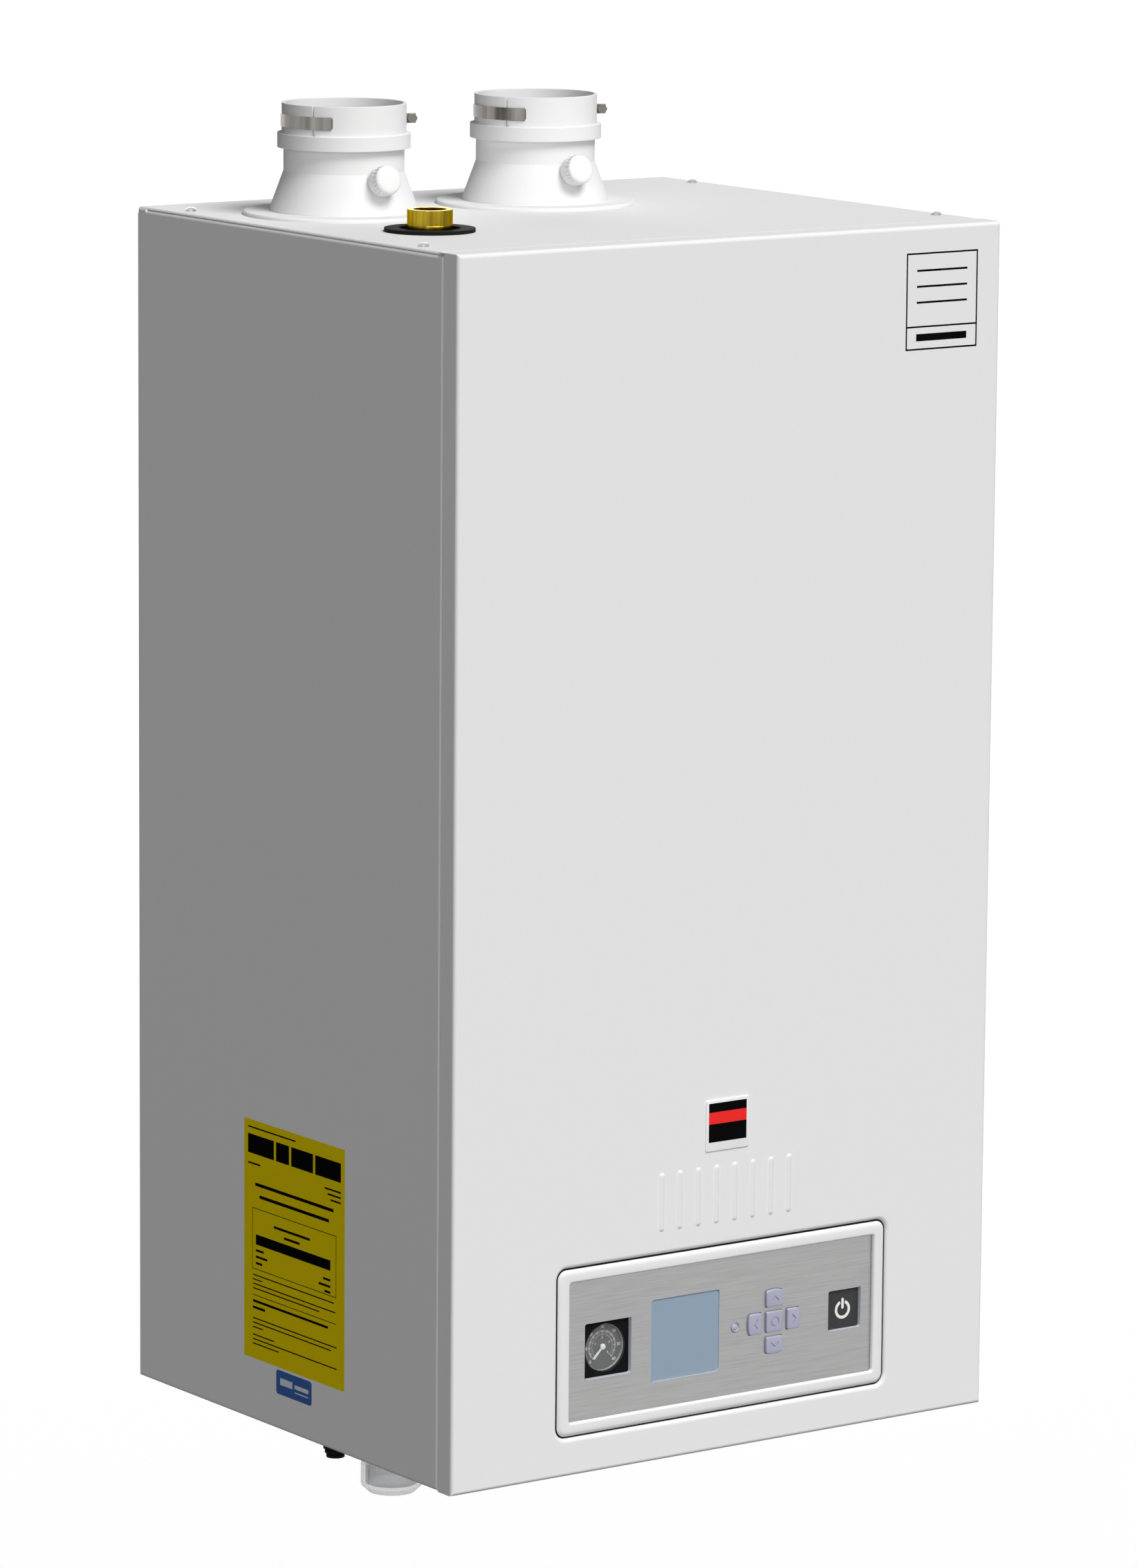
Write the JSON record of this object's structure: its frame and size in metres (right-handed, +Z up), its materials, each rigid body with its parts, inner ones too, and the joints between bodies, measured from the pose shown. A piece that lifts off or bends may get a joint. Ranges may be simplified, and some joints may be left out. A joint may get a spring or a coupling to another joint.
{
  "type": "wall-hung gas boiler",
  "caption": "Wall-hung condensing gas boiler: folded steel casing, twin flue adaptors on top, control panel with gauge, display and keys.",
  "frame": {"origin": "middle of the wall bracket's bolt line, on the wall", "axes": "+X to the right seen from the front, +Y towards the wall, +Z up"},
  "size_m": [0.498, 0.435, 1.0496],
  "materials": {
    "casing_paint": "smooth satin powder coat",
    "zinc_sheet": "galvanised sheet",
    "screw_steel": "bright zinc plate",
    "fascia_white": "moulded, semi-gloss",
    "brushed_plate": "brushed lengthwise",
    "circuit_board": "solder resist",
    "black_plastic": "moulded, fine texture",
    "display_panel": "smooth display window",
    "clear_lens": "clear, domed",
    "key_silver": "metallic lacquer",
    "key_dark": "fine texture",
    "needle_white": "painted",
    "gauge_glass": "flat and clear",
    "adaptor_plastic": "moulded, semi-gloss",
    "cap_plastic": "moulded",
    "brass": "turned",
    "copper": "drawn copper tube",
    "rubber": "matt",
    "stainless": "formed stainless",
    "cast_aluminium": "die cast",
    "ceramic": "glazed",
    "motor_paint": "black paint",
    "grey_plastic": "moulded",
    "white_plastic": "extruded",
    "clear_plastic": "clear moulded cap",
    "vessel_paint": "gloss enamel",
    "pump_iron": "painted casting"
  },
  "bodies": {
    "chassis": {"side_panel_left": "casing_paint", "side_panel_right": "casing_paint", "top_cover": "casing_paint", "bottom_panel": "zinc_sheet", "back_panel": "zinc_sheet", "wall_bracket": "zinc_sheet", "cross_rails": "zinc_sheet", "cover_screws": "screw_steel", "control_fascia": "fascia_white", "control_plate": "brushed_plate", "control_boards": "circuit_board", "control_box": "black_plastic", "display_module": "display_panel", "indicator_lens": "clear_lens", "gauge_case": "black_plastic", "gauge_glass": "gauge_glass", "exhaust_adaptor": "adaptor_plastic", "intake_adaptor": "adaptor_plastic", "clamp_bands": "screw_steel", "relief_fitting": "brass", "rubber_grommets": "rubber", "heating_pipes": "copper", "heat_exchanger": "stainless", "exchanger_coil": "stainless", "burner": "stainless", "burner_door": "cast_aluminium", "electrodes": "ceramic", "fan_housing": "cast_aluminium", "fan_motor": "motor_paint", "mixing_venturi": "cast_aluminium", "mixture_duct": "cast_aluminium", "gas_valve": "cast_aluminium", "gas_pipe": "copper", "intake_duct": "grey_plastic", "flue_collector": "grey_plastic", "flue_pipe": "white_plastic", "condensate_hose": "grey_plastic", "condensate_trap": "white_plastic", "expansion_vessel": "vessel_paint", "pump_housing": "pump_iron", "plate_exchanger": "stainless", "hydraulic_blocks": "black_plastic", "water_stubs": "copper", "union_nuts": "brass", "air_vent": "brass"},
    "front_panel": {"front_panel": "casing_paint"},
    "key_up": {"key_up": "key_silver"},
    "key_down": {"key_down": "key_silver"},
    "key_left": {"key_left": "key_silver"},
    "key_right": {"key_right": "key_silver"},
    "key_ok": {"key_ok": "key_silver"},
    "power_key": {"power_key": "key_dark"},
    "gauge_needle": {"gauge_needle": "needle_white"},
    "fan_impeller": {"fan_impeller": "grey_plastic"},
    "pump_rotor": {"pump_rotor": "stainless"},
    "exhaust_test_cap": {"exhaust_test_cap": "cap_plastic"},
    "intake_test_cap": {"intake_test_cap": "cap_plastic"},
    "exhaust_clamp_screw": {"exhaust_clamp_screw": "screw_steel"},
    "intake_clamp_screw": {"intake_clamp_screw": "screw_steel"},
    "trap_cap": {"trap_cap": "clear_plastic"}
  },
  "joints": [
    {"name": "front_panel_off", "type": "slide", "parent": "chassis", "child": "front_panel", "axis": [0, -1, 0], "range_m": [0, 0.3]},
    {"name": "key_up_press", "type": "slide", "parent": "chassis", "child": "key_up", "axis": [0, 1, 0], "range_m": [0, 0.0015], "stiffness_N_per_m": 800, "springref_m": -0.0005},
    {"name": "key_down_press", "type": "slide", "parent": "chassis", "child": "key_down", "axis": [0, 1, 0], "range_m": [0, 0.0015], "stiffness_N_per_m": 800, "springref_m": -0.0005},
    {"name": "key_left_press", "type": "slide", "parent": "chassis", "child": "key_left", "axis": [0, 1, 0], "range_m": [0, 0.0015], "stiffness_N_per_m": 800, "springref_m": -0.0005},
    {"name": "key_right_press", "type": "slide", "parent": "chassis", "child": "key_right", "axis": [0, 1, 0], "range_m": [0, 0.0015], "stiffness_N_per_m": 800, "springref_m": -0.0005},
    {"name": "key_ok_press", "type": "slide", "parent": "chassis", "child": "key_ok", "axis": [0, 1, 0], "range_m": [0, 0.0015], "stiffness_N_per_m": 800, "springref_m": -0.0005},
    {"name": "power_key_press", "type": "slide", "parent": "chassis", "child": "power_key", "axis": [0, 1, 0], "range_m": [0, 0.003], "stiffness_N_per_m": 800, "springref_m": -0.0005},
    {"name": "gauge_needle_sweep", "type": "hinge", "parent": "chassis", "child": "gauge_needle", "pos_m": [-0.1055, -0.4245, -0.7677], "axis": [0, 1, 0], "range_deg": [0, 270], "stiffness_Nm_per_rad": 0.0005, "springref_deg": -11.46},
    {"name": "fan_spin", "type": "hinge", "parent": "chassis", "child": "fan_impeller", "pos_m": [-0.148, -0.374, -0.22], "axis": [0, 1, 0], "continuous": true},
    {"name": "pump_spin", "type": "hinge", "parent": "chassis", "child": "pump_rotor", "pos_m": [0.181, -0.254, -0.7], "axis": [0, 1, 0], "continuous": true},
    {"name": "exhaust_test_cap_off", "type": "slide", "parent": "chassis", "child": "exhaust_test_cap", "axis": [0, -0.9659, 0.2588], "range_m": [0, 0.03]},
    {"name": "intake_test_cap_off", "type": "slide", "parent": "chassis", "child": "intake_test_cap", "axis": [0, -0.9659, 0.2588], "range_m": [0, 0.03]},
    {"name": "exhaust_clamp_screw_turn", "type": "hinge", "parent": "chassis", "child": "exhaust_clamp_screw", "pos_m": [0.08019, -0.14772, 0.1318], "axis": [0.2588, 0.9659, 0], "continuous": true},
    {"name": "intake_clamp_screw_turn", "type": "hinge", "parent": "chassis", "child": "intake_clamp_screw", "pos_m": [-0.09681, -0.14772, 0.1318], "axis": [0.2588, 0.9659, 0], "continuous": true},
    {"name": "trap_cap_off", "type": "slide", "parent": "chassis", "child": "trap_cap", "axis": [0, 0, -1], "range_m": [0, 0.05]}
  ]
}
